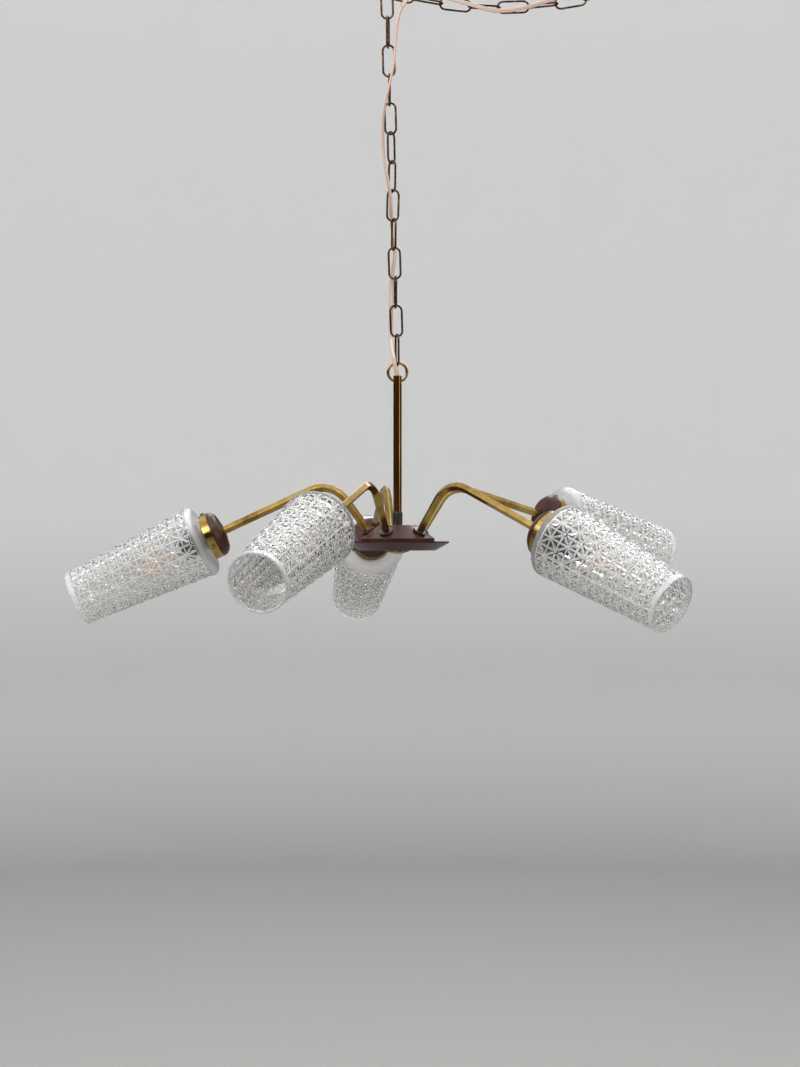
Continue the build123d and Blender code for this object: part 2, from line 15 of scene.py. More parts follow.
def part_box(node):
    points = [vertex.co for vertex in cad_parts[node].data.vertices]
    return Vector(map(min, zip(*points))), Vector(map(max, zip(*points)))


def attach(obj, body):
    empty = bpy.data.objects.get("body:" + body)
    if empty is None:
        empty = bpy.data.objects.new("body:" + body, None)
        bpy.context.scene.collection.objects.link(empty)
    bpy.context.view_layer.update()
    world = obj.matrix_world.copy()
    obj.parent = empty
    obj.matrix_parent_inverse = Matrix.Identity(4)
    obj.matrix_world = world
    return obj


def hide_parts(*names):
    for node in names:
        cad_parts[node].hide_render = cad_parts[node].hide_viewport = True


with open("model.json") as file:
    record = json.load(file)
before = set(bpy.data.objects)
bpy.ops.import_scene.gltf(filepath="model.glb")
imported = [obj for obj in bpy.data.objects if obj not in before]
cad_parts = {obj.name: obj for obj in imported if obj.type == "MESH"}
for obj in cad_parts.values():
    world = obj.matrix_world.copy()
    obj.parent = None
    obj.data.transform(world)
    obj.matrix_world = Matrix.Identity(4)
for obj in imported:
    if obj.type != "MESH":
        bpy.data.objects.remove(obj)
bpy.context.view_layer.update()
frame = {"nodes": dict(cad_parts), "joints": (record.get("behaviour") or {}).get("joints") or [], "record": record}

LAMPS = range(1, 6)
SCENE = bpy.context.scene
JOINTS = {joint["name"]: joint for joint in frame["joints"]}
SLOT_OF = {part["node"]: part["material_slot"] for part in frame["record"]["subparts"]}


def centre(node):
    """Middle of a node's box at rest."""
    low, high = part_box(node)
    return (low + high) / 2


STEM = centre("stem_tube")
STEM_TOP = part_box("stem_tube")[1].z
HUB_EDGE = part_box("hub_tray")[1].z
CANOPY = centre("ceiling_canopy")
CANOPY_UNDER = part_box("ceiling_canopy")[0].z

# ---------------------------------------------------------------- camera
EYE_DISTANCE = 2.50
EYE_HEIGHT = HUB_EDGE + 0.003      # level with the rim of the tray
EYE_ASIDE = 0.003                  # right of the stem
LENS = 70.3
SENSOR = 36.0
SHIFT_UP = 0.005
FLOOR_Z = -1.93


def make_camera():
    data = bpy.data.cameras.new("camera")
    data.sensor_fit = "VERTICAL"
    data.sensor_height = SENSOR
    data.sensor_width = SENSOR
    data.lens = LENS
    data.shift_y = SHIFT_UP
    camera = bpy.data.objects.new("camera", data)
    camera.location = (STEM.x + EYE_ASIDE, -EYE_DISTANCE, EYE_HEIGHT)
    camera.rotation_euler = (radians(90), 0, 0)
    SCENE.collection.objects.link(camera)
    SCENE.camera = camera


# ---------------------------------------------------------------- shader helpers
def material(name, color, roughness, **sockets):
    """New Principled material; more sockets go by name, with _ for a space."""
    made = bpy.data.materials.new(name)
    made.use_nodes = True
    shader = made.node_tree.nodes["Principled BSDF"]
    shader.inputs["Base Color"].default_value = (*color, 1)
    shader.inputs["Roughness"].default_value = roughness
    for socket, value in sockets.items():
        shader.inputs[socket.replace("_", " ")].default_value = value
    return made


def shader_of(made):
    return made.node_tree.nodes["Principled BSDF"]


def texture(made, kind, scale, stretch=(1, 1, 1), **values):
    """Noise or Voronoi in the piece's own space, stretched by axis. Returns its main output."""
    tree = made.node_tree
    place = tree.nodes.new("ShaderNodeTexCoord")
    mapping = tree.nodes.new("ShaderNodeMapping")
    mapping.inputs["Scale"].default_value = stretch
    node = tree.nodes.new(kind)
    node.inputs["Scale"].default_value = scale
    for socket, value in values.items():
        node.inputs[socket].default_value = value
    tree.links.new(place.outputs["Object"], mapping.inputs["Vector"])
    tree.links.new(mapping.outputs["Vector"], node.inputs["Vector"])
    return node.outputs[0]


def ramp(made, factor, stops):
    """Colours by factor: stops are (place, colour)."""
    node = made.node_tree.nodes.new("ShaderNodeValToRGB")
    elements = node.color_ramp.elements
    while len(elements) < len(stops):
        elements.new(0.5)
    for element, (place, color) in zip(elements, stops):
        element.position = place
        element.color = (*color, 1)
    made.node_tree.links.new(factor, node.inputs["Fac"])
    return node.outputs["Color"]


def spread(made, factor, low, high, start=0.3, end=0.7):
    """The factor's middle range mapped to low..high."""
    node = made.node_tree.nodes.new("ShaderNodeMapRange")
    node.inputs["From Min"].default_value = start
    node.inputs["From Max"].default_value = end
    node.inputs["To Min"].default_value = low
    node.inputs["To Max"].default_value = high
    made.node_tree.links.new(factor, node.inputs["Value"])
    return node.outputs["Result"]


def feed(made, socket, output):
    made.node_tree.links.new(output, shader_of(made).inputs[socket])


def bump(made, height, strength, distance):
    node = made.node_tree.nodes.new("ShaderNodeBump")
    node.inputs["Strength"].default_value = strength
    node.inputs["Distance"].default_value = distance
    made.node_tree.links.new(height, node.inputs["Height"])
    made.node_tree.links.new(node.outputs["Normal"], shader_of(made).inputs["Normal"])


# ---------------------------------------------------------------- materials
NOISE = "ShaderNodeTexNoise"
VORONOI = "ShaderNodeTexVoronoi"


def polished_brass():
    """Lacquered brass, gone a little brown in patches, with fine drawn lines."""
    made = material("polished_brass", (0.50, 0.34, 0.11), 0.2, Metallic=1.0)
    patches = texture(made, NOISE, 42, Detail=5.0, Roughness=0.6)
    feed(made, "Base Color", ramp(made, patches, [
        (0.30, (0.13, 0.070, 0.022)), (0.45, (0.32, 0.205, 0.058)), (0.75, (0.50, 0.36, 0.12)),
    ]))
    smears = texture(made, NOISE, 140, Detail=4.0)
    feed(made, "Roughness", spread(made, smears, 0.12, 0.24))
    grain = texture(made, NOISE, 900, stretch=(1, 1, 0.15), Detail=2.0)
    bump(made, grain, 0.04, 0.0001)
    return made


def aged_brass():
    """Brass darkened to bronze, rubbed bright and orange in places."""
    made = material("aged_brass", (0.12, 0.07, 0.035), 0.35, Metallic=1.0)
    tarnish = texture(made, NOISE, 260, Detail=6.0, Roughness=0.65)
    feed(made, "Base Color", ramp(made, tarnish, [
        (0.36, (0.025, 0.018, 0.014)), (0.52, (0.10, 0.055, 0.028)), (0.72, (0.46, 0.23, 0.08)),
    ]))
    feed(made, "Roughness", spread(made, tarnish, 0.42, 0.22))
    bump(made, tarnish, 0.2, 0.0003)
    return made


def stem_brass():
    """The stem's darker brass, streaked along its length."""
    made = material("stem_brass", (0.40, 0.22, 0.08), 0.22, Metallic=1.0)
    streaks = texture(made, NOISE, 420, stretch=(1, 1, 0.05), Detail=4.0)
    feed(made, "Base Color", ramp(made, streaks, [
        (0.32, (0.13, 0.055, 0.022)), (0.50, (0.33, 0.150, 0.050)), (0.70, (0.52, 0.27, 0.09)),
    ]))
    feed(made, "Roughness", spread(made, streaks, 0.26, 0.12))
    bump(made, streaks, 0.12, 0.0002)
    return made


def brown_enamel():
    """Gloss dark brown enamel with a slight orange peel and rubbed, dusty patches."""
    made = material(
        "brown_enamel", (0.045, 0.013, 0.012), 0.3,
        Coat_Weight=0.16, Coat_Roughness=0.08, Specular_IOR_Level=0.18,
    )
    dust = texture(made, NOISE, 38, Detail=6.0, Roughness=0.7)
    feed(made, "Base Color", ramp(made, dust, [
        (0.35, (0.036, 0.011, 0.007)), (0.60, (0.058, 0.019, 0.014)), (0.80, (0.100, 0.046, 0.040)),
    ]))
    feed(made, "Roughness", spread(made, dust, 0.24, 0.46))
    bump(made, texture(made, NOISE, 700, Detail=2.0), 0.05, 0.0002)
    return made


def black_lacquer():
    made = material("black_lacquer", (0.018, 0.016, 0.015), 0.3, Coat_Weight=0.4)
    chips = texture(made, NOISE, 300, Detail=5.0)
    feed(made, "Base Color", ramp(made, chips, [
        (0.55, (0.018, 0.016, 0.015)), (0.75, (0.090, 0.055, 0.030)),
    ]))
    feed(made, "Roughness", spread(made, chips, 0.25, 0.5))
    return made


def moulded_plastic(name, color, roughness):
    """Moulded plastic with a fine spark-eroded grain."""
    made = material(name, color, roughness, Specular_IOR_Level=0.45)
    grain = texture(made, NOISE, 1500, Detail=2.0)
    feed(made, "Roughness", spread(made, grain, roughness - 0.06, roughness + 0.1))
    bump(made, grain, 0.12, 0.0002)
    return made


def plated(name, dark, light, low, high):
    """Plated steel: nickel on the bulb caps, darkened on the screws."""
    made = material(name, light, low, Metallic=1.0)
    spots = texture(made, NOISE, 420, Detail=5.0)
    feed(made, "Base Color", ramp(made, spots, [(0.35, dark), (0.62, light)]))
    feed(made, "Roughness", spread(made, spots, low, high))
    bump(made, spots, 0.08, 0.0001)
    return made


def pressed_glass():
    """Clear pressed glass, a little seedy, so that its facets sparkle."""
    made = material(
        "pressed_glass", (0.935, 0.935, 0.925), 0.02, Transmission_Weight=1.0, IOR=1.5,
    )
    feed(made, "Roughness", spread(made, texture(made, NOISE, 90, Detail=3.0), 0.0, 0.05))
    bump(made, texture(made, NOISE, 160, Detail=1.0), 0.03, 0.0003)
    return made


def land_glass():
    """The pattern's raised lands and the rim, whitened by the mould's skin and by handling."""
    made = material(
        "land_glass", (0.92, 0.92, 0.915), 0.3, Transmission_Weight=0.60, IOR=1.5,
    )
    skin = texture(made, NOISE, 500, Detail=4.0)
    feed(made, "Roughness", spread(made, skin, 0.20, 0.42))
    bump(made, skin, 0.15, 0.0002)
    return made


def frosted_glass():
    """The milky shoulder of a shade, left with the skin of the mould."""
    made = material(
        "frosted_glass", (0.90, 0.90, 0.90), 0.42, Transmission_Weight=0.80, IOR=1.48,
    )
    skin = texture(made, NOISE, 900, Detail=4.0)
    feed(made, "Roughness", spread(made, skin, 0.30, 0.5))
    bump(made, skin, 0.25, 0.0003)
    return made


def bulb_clear_glass():
    made = material("bulb_clear_glass", (0.99, 0.99, 0.985), 0.0, Transmission_Weight=1.0, IOR=1.45)
    bump(made, texture(made, NOISE, 60, Detail=1.0), 0.05, 0.0005)
    return made


def flex_sheath():
    """Clear flex sheath gone pinkish, with copper showing through the middle of each strand."""
    made = material("flex_sheath", (0.75, 0.58, 0.50), 0.28, Coat_Weight=0.5, Subsurface_Weight=0.15)
    tree = made.node_tree
    spot = tree.nodes.new("ShaderNodeUVMap")
    spot.uv_map = "section"
    split = tree.nodes.new("ShaderNodeSeparateXYZ")
    tree.links.new(spot.outputs["UV"], split.inputs["Vector"])
    around = ramp(made, split.outputs["X"], [
        (0.0, (0.80, 0.68, 0.62)), (0.35, (0.66, 0.42, 0.32)), (0.50, (0.62, 0.36, 0.25)),
        (0.65, (0.66, 0.42, 0.32)), (1.0, (0.80, 0.68, 0.62)),
    ])
    feed(made, "Base Color", around)
    dirt = texture(made, NOISE, 160, Detail=4.0)
    feed(made, "Roughness", spread(made, dirt, 0.22, 0.42))
    bump(made, dirt, 0.08, 0.0004)
    return made


def phosphor_painted_glow():
    """Orange resin on a filament strip, with a painted glow: it emits light though the bulb is off."""
    # The emission is a painted glow on an unlit strip.
    made = material(
        "phosphor_painted_glow", (0.92, 0.42, 0.06), 0.5, Emission_Color=(1.0, 0.40, 0.05, 1), Emission_Strength=0.45,
    )
    beads = texture(made, VORONOI, 900)
    feed(made, "Base Color", ramp(made, beads, [(0.1, (0.95, 0.50, 0.10)), (0.8, (0.80, 0.30, 0.03))]))
    bump(made, beads, 0.3, 0.0003)
    return made


def studio_grey():
    """Matte pale wall with painted shade, deepening evenly towards the floor."""
    made = material("studio_grey", (0.7, 0.7, 0.7), 0.9, Specular_IOR_Level=0.1)
    tree = made.node_tree
    place = tree.nodes.new("ShaderNodeTexCoord")
    split = tree.nodes.new("ShaderNodeSeparateXYZ")
    tree.links.new(place.outputs["Object"], split.inputs["Vector"])
    height = spread(made, split.outputs["Z"], 0.0, 1.0, FLOOR_Z, 1.0)
    # Painted shade: the colour darkens with height towards the floor, and a little towards the top.
    feed(made, "Base Color", ramp(made, height, [
        (0.0, (0.39, 0.388, 0.381)), (0.16, (0.60, 0.60, 0.595)), (0.45, (0.81, 0.81, 0.81)),
        (1.0, (0.76, 0.76, 0.765)),
    ]))
    feed(made, "Roughness", spread(made, texture(made, NOISE, 2.0), 0.85, 1.0))
    return made


GLASS = pressed_glass()
LAND = land_glass()
FROSTED = frosted_glass()
BULB_GLASS = bulb_clear_glass()
SHEATH = flex_sheath()
PHOSPHOR_PAINTED_GLOW = phosphor_painted_glow()
FINISHES = {
    "aged_brass": aged_brass(),
    "brass": polished_brass(),
    "brown_paint": brown_enamel(),
    "black_paint": black_lacquer(),
    "white_plastic": moulded_plastic("white_plastic", (0.80, 0.79, 0.75), 0.42),
    "black_plastic": moulded_plastic("black_plastic", (0.016, 0.016, 0.017), 0.36),
    "screw_steel": plated("screw_steel", (0.14, 0.10, 0.07), (0.34, 0.27, 0.19), 0.28, 0.5),
    "nickel": plated("nickel", (0.48, 0.45, 0.41), (0.72, 0.70, 0.66), 0.16, 0.34),
    "flex_sheath": SHEATH,
    "pressed_glass": GLASS,
    "clear_glass": BULB_GLASS,
}
STEM_BRASS = stem_brass()


def finish_cad_nodes():
    for name, node in frame["nodes"].items():
        node.data.materials.clear()
        node.data.materials.append(FINISHES[SLOT_OF[name]])
    frame["nodes"]["stem_tube"].data.materials[0] = STEM_BRASS


# ---------------------------------------------------------------- mesh helpers
def piece(name, mesh, body, slot, *replaced):
    """New object on a body, in place of CAD nodes; the slot argument is not used."""
    made = bpy.data.objects.new(name, mesh)
    SCENE.collection.objects.link(made)
    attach(made, body)
    if replaced:
        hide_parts(*replaced)
    return made


def mesh_from(name, points, faces, materials, indices=None, smooth=None):
    """Mesh with outward normals; indices and smooth are one value for each face."""
    mesh = bpy.data.meshes.new(name)
    mesh.from_pydata(points, [], faces)
    for each in materials:
        mesh.materials.append(each)
    if indices is not None:
        mesh.polygons.foreach_set("material_index", indices)
    mesh.polygons.foreach_set("use_smooth", smooth if smooth is not None else [True] * len(faces))
    work = bmesh.new()
    work.from_mesh(mesh)
    bmesh.ops.recalc_face_normals(work, faces=work.faces)
    work.to_mesh(mesh)
    work.free()
    mesh.validate()
    return mesh


def lamp_axis(number):
    """Direction of a lamp's shade, from its arm to its mouth."""
    return Vector(JOINTS[f"shade_slide_{number}"]["axis"]).normalized()


FLAT_WITHIN = 1e-5         # how near its end plane a vertex counts as on it
RIM_SHARE = 0.93           # of the end face's reach: further out is its rim


def end_ring(node, axis, far):
    """Centre of a round node's end face, at the far or the near end of its axis."""
    points = np.array([vertex.co for vertex in frame["nodes"][node].data.vertices])
    along = points @ np.array(axis)
    level = along.max() if far else along.min()
    ring = points[abs(along - level) < FLAT_WITHIN]
    middle = np.unique(ring.round(6), axis=0).mean(axis=0)
    reach = np.linalg.norm(ring - middle, axis=1)
    rim = ring[reach > RIM_SHARE * reach.max()]
    side = np.array(axis.orthogonal().normalized())
    flat = np.stack([rim @ side, rim @ np.cross(axis, side)], axis=1)
    terms = np.column_stack([2 * flat, np.ones(len(flat))])
    across, up, _ = np.linalg.lstsq(terms, (flat ** 2).sum(axis=1), rcond=None)[0]
    return Vector(across * side + up * np.cross(axis, side) + level * np.array(axis))


def lamp_place(number, node):
    """Matrix with local Z along the lamp's axis and its origin at the node's near end."""
    axis = lamp_axis(number)
    level = axis.cross(Vector((0, 0, 1))).normalized()
    turn = Matrix((level, axis.cross(level), axis)).transposed().to_4x4()
    return Matrix.Translation(end_ring(node, axis, False)) @ turn


# ---------------------------------------------------------------- shades
NECK_R = 0.0258
NECK_TO_SHOULDER = 0.0128
SHOULDER_R = 0.0446
MOUTH_R = 0.0340
WALL = 0.0034
SHOULDER_ROUND = 0.0070
SMOOTH_BAND = 0.0085       # plain glass between the shoulder and the first stars
RIM_BAND = 0.0065          # plain glass at the mouth
STARS_AROUND = 12
STAR_ROWS = 7
RIDGE = 0.040              # half a ridge's width, as a share of a star
BUTTON = 0.15              # radius of the button between four stars, as a share of a star
STAR_DEEP = 0.0021         # cuts, below the plain cone, as are the next five
CENTRE_LOW = 0.0001        # a star's centre
SIDE_LOW = 0.0006          # the middle of a star's side
LAND_LOW = 0.0008          # the lands beside the cuts
FOOT_LOW = 0.0009          # the foot of the button
DOME_LOW = 0.0002          # the button's shoulder
DOME_SHARE = 0.55          # radius of the button's top, as a share of its foot's
EDGE_ROUND = 0.0004        # worn edges of the neck; the shoulder also stands in by this much
ARC_STEPS = 6              # in the shoulder's and the rim's roundings
CORNER_STEPS = 5
NECK_FLARE = ((0.0030, 0.0), (0.0018, 0.0012))    # (back from the shoulder, out from the neck)
LIP_BACK = 0.0008          # the shoulder's face, where it leaves the flare
LIP_OUT = 0.004
BAND_END = 0.0008          # from the last plain ring to the first stars
RIM_STEP = 0.0010          # from the last stars to the first plain ring
RIM_IN = 0.0003
INNER_LIP_BACK = 0.0008    # the shoulder's inner face, where it meets the neck
INNER_LIP_OUT = 0.003
INNER_CORNER = 0.0012      # the neck's bore ends this far past the shoulder's face
RIM_ROUND = 0.0016         # the mouth's rounded rim
SHOULDER_BACK = 0.0006     # the shoulder's face stands this far towards the neck
INSIDE_ROUND = 0.0055      # inside corner under the shoulder
INSIDE_DROP = 0.0060       # from the shoulder's inner face to the cone inside
GLASS_KIND = 0             # places in the mesh's list of materials
FROSTED_KIND = 1
LAND_KIND = 2
NEAR_END = end_ring("shade_1", lamp_axis(1), False)
SHADE_LENGTH = (end_ring("shade_1", lamp_axis(1), True) - NEAR_END).length


def inset(corners, width):
    """A convex polygon's corners, moved in so that each side moves by width."""
    middle = sum(corners, Vector((0, 0))) / len(corners)
    lines = []
    for here, after in zip(corners, corners[1:] + corners[:1]):
        along = (after - here).normalized()
        inward = Vector((-along.y, along.x))
        if inward.dot(middle - here) < 0:
            inward = -inward
        lines.append((here + inward * width, along))
    moved = []
    for (a, one), (b, two) in zip(lines[-1:] + lines[:-1], lines):
        step = (b - a).cross(two) / one.cross(two)
        moved.append(a + one * step)
    return moved


class Shade:
    """One shade's surface: local Z from the neck's edge to the mouth."""

    def __init__(self):
        self.points = []
        self.faces = []
        self.kinds = []
        self.smooth = []
        self.known = {}
        self.star_start = NECK_TO_SHOULDER + SMOOTH_BAND
        self.star_end = SHADE_LENGTH - RIM_BAND
        self.taper = (SHOULDER_R - MOUTH_R) / (SHADE_LENGTH - NECK_TO_SHOULDER)

    def radius(self, z):
        return SHOULDER_R - self.taper * (z - NECK_TO_SHOULDER)

    def level(self, row):
        """Height of a star row's edge: rows shrink with the radius, so stars stay square."""
        near, far = self.radius(self.star_start), self.radius(self.star_end)
        share = (1 - (far / near) ** (row / STAR_ROWS)) / (1 - far / near)
        return self.star_start + share * (self.star_end - self.star_start)

    def point(self, turn, z, r):
        self.points.append((r * cos(turn), r * sin(turn), z))
        return len(self.points) - 1

    def star_point(self, u, v, height):
        """A shared point of the star field: u in stars round it, v in rows, height over the base."""
        key = (round(u % STARS_AROUND, 4) % STARS_AROUND, round(v, 4))
        if key not in self.known:
            z = self.level(v)
            self.known[key] = self.point(2 * pi * u / STARS_AROUND, z, self.radius(z) + height)
        return self.known[key]

    def face(self, corners, kind, smooth):
        self.faces.append(corners)
        self.kinds.append(kind)
        self.smooth.append(smooth)

    def star_wedge(self, column, row, swap, across, down):
        """An eighth of a star: ridges round a leaf-shaped cut, and a slice of the corner button."""
        diagonal = BUTTON / 2 ** 0.5
        outline = [
            Vector((0, 0)), Vector((0.5, 0)), Vector((0.5, 0.5 - BUTTON)), Vector((0.5 - diagonal,) * 2),
        ]
        corner = Vector((0.5, 0.5))
        inner = inset(outline, RIDGE)
        valley = sum(inner, Vector((0, 0))) / len(inner)

        def place(spot, height):
            x, y = (spot.y, spot.x) if swap else (spot.x, spot.y)
            return self.star_point(column + 0.5 + across * x, row + 0.5 + down * y, height)

        ridge = [place(outline[0], -CENTRE_LOW), place(outline[1], -SIDE_LOW)]
        ridge += [place(outline[2], -FOOT_LOW), place(outline[3], -FOOT_LOW)]
        edge = [place(spot, -LAND_LOW) for spot in inner]
        bottom = place(valley, -STAR_DEEP)
        for k in range(4):
            after = (k + 1) % 4
            self.face((ridge[k], ridge[after], edge[after], edge[k]), LAND_KIND, False)
            self.face((edge[k], edge[after], bottom), GLASS_KIND, False)
        dome = [place(corner.lerp(outline[k], DOME_SHARE), -DOME_LOW) for k in (2, 3)]
        self.face((ridge[2], ridge[3], dome[1], dome[0]), GLASS_KIND, False)
        self.face((dome[0], dome[1], place(corner, 0.0)), LAND_KIND, False)

    def edge_turns(self):
        """Places round the star field's edge, in stars: the same for every plain ring."""
        stops = (0, BUTTON * DOME_SHARE, BUTTON, 0.5, 1 - BUTTON, 1 - BUTTON * DOME_SHARE)
        return [column + stop for column in range(STARS_AROUND) for stop in stops]

    def ring(self, z, r):
        return [self.point(2 * pi * u / STARS_AROUND, z, r) for u in self.edge_turns()]

    def skirt(self, rings, kind):
        for near, far in zip(rings, rings[1:]):
            for k in range(len(near)):
                after = (k + 1) % len(near)
                self.face((near[k], near[after], far[after], far[k]), kind, True)

    def stars(self):
        for column in range(STARS_AROUND):
            for row in range(STAR_ROWS):
                for swap in (False, True):
                    for across in (-1, 1):
                        for down in (-1, 1):
                            self.star_wedge(column, row, swap, across, down)

    def outside_rings(self):
        """From the neck's edge over the shoulder, down to just before the stars."""
        top_z = NECK_TO_SHOULDER - SHOULDER_BACK
        rings = [self.ring(0.0, NECK_R - EDGE_ROUND), self.ring(EDGE_ROUND, NECK_R)]
        rings += [self.ring(NECK_TO_SHOULDER - back, NECK_R + out) for back, out in NECK_FLARE]
        rings.append(self.ring(top_z - LIP_BACK, NECK_R + LIP_OUT))
        for step in range(ARC_STEPS + 1):
            angle = step / ARC_STEPS * pi / 2
            r = SHOULDER_R - SHOULDER_ROUND * (1 - sin(angle)) - EDGE_ROUND
            rings.append(self.ring(top_z + SHOULDER_ROUND * (1 - cos(angle)), r))
        rings.append(self.ring(self.star_start - BAND_END, self.radius(self.star_start) - EDGE_ROUND))
        return rings

    def rim_rings(self):
        """From just past the stars round the mouth's rim to its inner edge."""
        start_z = SHADE_LENGTH - RIM_ROUND
        rings = [self.ring(self.star_end + RIM_STEP, self.radius(self.star_end) - RIM_IN)]
        rings.append(self.ring(start_z, MOUTH_R))
        for step in range(1, ARC_STEPS):
            angle = step / ARC_STEPS * pi
            r = MOUTH_R - WALL / 2 + WALL / 2 * cos(angle)
            rings.append(self.ring(start_z + RIM_ROUND * sin(angle), r))
        rings.append(self.ring(start_z, MOUTH_R - WALL))
        return rings

    def inside_rings(self):
        """From inside the mouth up the smooth inner cone, round its corner and out of the neck."""
        inner_r = NECK_R - WALL
        start_z = NECK_TO_SHOULDER + WALL + INSIDE_DROP
        rings = []
        for share in (0.75, 0.5, 0.25, 0.0):
            z = start_z + share * (SHADE_LENGTH - start_z)
            rings.append(self.ring(z, self.radius(z) - WALL))
        for step in range(1, CORNER_STEPS + 1):
            angle = step / CORNER_STEPS * pi / 2
            r = self.radius(start_z) - WALL - INSIDE_ROUND * (1 - cos(angle))
            rings.append(self.ring(start_z - INSIDE_ROUND * sin(angle), r))
        rings.append(self.ring(NECK_TO_SHOULDER + WALL - INNER_LIP_BACK, inner_r + INNER_LIP_OUT))
        rings.append(self.ring(NECK_TO_SHOULDER + INNER_CORNER, inner_r))
        rings += [self.ring(EDGE_ROUND, inner_r), self.ring(0.0, inner_r + EDGE_ROUND)]
        return rings

    def build(self):
        self.stars()
        first = [self.star_point(u, 0, 0) for u in self.edge_turns()]
        last = [self.star_point(u, STAR_ROWS, 0) for u in self.edge_turns()]
        outside = self.outside_rings()
        self.skirt(outside, FROSTED_KIND)
        self.skirt([outside[-1], first], GLASS_KIND)
        rim = [last] + self.rim_rings()
        white = len(rim) - 1   # the mouth's inner edge is clear again
        rest = rim + self.inside_rings() + [outside[0]]
        self.skirt(rest[:white], LAND_KIND)
        self.skirt(rest[white - 1:], GLASS_KIND)
        return mesh_from("shade", self.points, self.faces, [GLASS, FROSTED, LAND], self.kinds, self.smooth)


def make_shades():
    mesh = Shade().build()
    for number in LAMPS:
        own = mesh.copy()
        own.transform(lamp_place(number, f"shade_{number}"))
        piece(f"star_shade_{number}", own, f"shade_body_{number}", "pressed_glass", f"shade_{number}")


# ---------------------------------------------------------------- filament bulbs
STRIPS = 4
STRIP_LENGTH = 0.036
STRIP_R = 0.0009
STRIP_CIRCLE = 0.0052
STRIP_START = 0.020        # from the glass's near end
STRIP_SIDES = 10
STRIP_LEAN = 0.45          # a strip's far end, as a share of its near end's distance from the axis
WIRE_R = 0.00025
WIRE_LEAN = 0.3            # a wire's foot, as the same share
WIRE_BELOW = 0.006         # under the strips
WIRE_ABOVE = 0.0015
WIRE_SIDES = 6
POST_R = 0.0034
POST_SIDES = 20
POST_START = 0.0005
POST_BELOW = 0.004         # the post ends this far under the strips
BAR_RINGS = ((0, 0.55), (0.04, 1), (0.96, 1), (1, 0.55))
POST_RINGS = ((0, 1.25), (0.25, 1.0), (0.6, 0.75), (0.85, 0.6), (0.97, 0.7), (1, 0.5))


def tube(work, start, end, r, sides, rings=BAR_RINGS):
    """Closed round bar between two points; rings are (place along it, share of r)."""
    along = (end - start).normalized()
    side = along.orthogonal().normalized()
    other = along.cross(side)
    loops = []
    for place, share in rings:
        middle = start.lerp(end, place)
        spots = [middle + (side * cos(2 * pi * k / sides) + other * sin(2 * pi * k / sides)) * r * share
                 for k in range(sides)]
        loops.append([work.verts.new(spot) for spot in spots])
    for near, far in zip(loops, loops[1:]):
        for k in range(sides):
            after = (k + 1) % sides
            work.faces.new((near[k], near[after], far[after], far[k]))
    work.faces.new(loops[0][::-1])
    work.faces.new(loops[-1])


def filament_mesh():
    """Strips, their glass post and their lead wires, in the bulb's own space."""
    work = bmesh.new()
    strips = []
    for k in range(STRIPS):
        turn = 2 * pi * (k + 0.5) / STRIPS
        near = Vector((STRIP_CIRCLE * cos(turn), STRIP_CIRCLE * sin(turn), STRIP_START))
        far = Vector((near.x * STRIP_LEAN, near.y * STRIP_LEAN, STRIP_START + STRIP_LENGTH))
        tube(work, near, far, STRIP_R, STRIP_SIDES)
        strips.append((near, far))
    count = len(work.faces)
    for near, far in strips:
        foot = Vector((near.x * WIRE_LEAN, near.y * WIRE_LEAN, STRIP_START - WIRE_BELOW))
        tube(work, near, foot, WIRE_R, WIRE_SIDES)
        tube(work, far, Vector((0, 0, far.z + WIRE_ABOVE)), WIRE_R, WIRE_SIDES)
    wires = len(work.faces) - count
    post = Vector((0, 0, POST_START))
    top = Vector((0, 0, STRIP_START - POST_BELOW))
    tube(work, post, top, POST_R, POST_SIDES, POST_RINGS)
    bmesh.ops.recalc_face_normals(work, faces=work.faces)
    mesh = bpy.data.meshes.new("filament")
    work.faces.ensure_lookup_table()
    for index, face in enumerate(work.faces):
        face.smooth = True
        face.material_index = 0 if index < count else 1 if index < count + wires else 2
    work.to_mesh(mesh)
    work.free()
    for each in (PHOSPHOR_PAINTED_GLOW, FINISHES["nickel"], BULB_GLASS):
        mesh.materials.append(each)
    return mesh


def make_filaments():
    mesh = filament_mesh()
    for number in LAMPS:
        own = mesh.copy()
        own.transform(lamp_place(number, f"bulb_glass_{number}"))
        piece(f"filament_{number}", own, f"bulb_body_{number}", "white_plastic")


# ---------------------------------------------------------------- twin flex
FLEX_WIDTH = 0.005
FLEX_THICK = 0.0027
STRAND_POINTS = 9
STRAND_OPEN = -148         # degrees: the first point of a strand's outline, by the web between them
STRAND_STEP = 37
SPLIT_POINT = (0.01875, -0.0052, -0.0790)
FLEX_ENTRY = CANOPY.x - 0.024
DROP_ROUTE = [
    (STEM.x + 0.0001, -0.0002, STEM_TOP - 0.002),
    (0.0101, -0.0060, -0.511),
    (0.0082, -0.0070, -0.498),
    (0.0058, -0.0010, -0.484),
    (0.0045, 0.0057, -0.470),
    (0.0052, 0.0066, -0.446),
    (0.0049, 0.0066, -0.422),
    (0.0059, 0.0080, -0.401),
    (0.0096, 0.0086, -0.382),
    (0.0104, 0.0106, -0.365),
    (0.0074, 0.0114, -0.347),
    (0.0052, 0.0095, -0.331),
    (0.0052, -0.0048, -0.306),
    (0.0006, -0.0076, -0.284),
    (-0.0038, -0.0044, -0.260),
    (-0.0045, -0.0032, -0.234),
    (-0.0043, -0.0056, -0.212),
    (-0.0006, -0.0112, -0.194),
    (0.0032, -0.0132, -0.176),
    (0.0082, -0.0100, -0.153),
    (0.0102, -0.0058, -0.131),
    (0.0114, -0.0044, -0.111),
    (0.0130, -0.0042, -0.097),
    (0.0160, -0.0048, -0.0845),
    SPLIT_POINT,
]
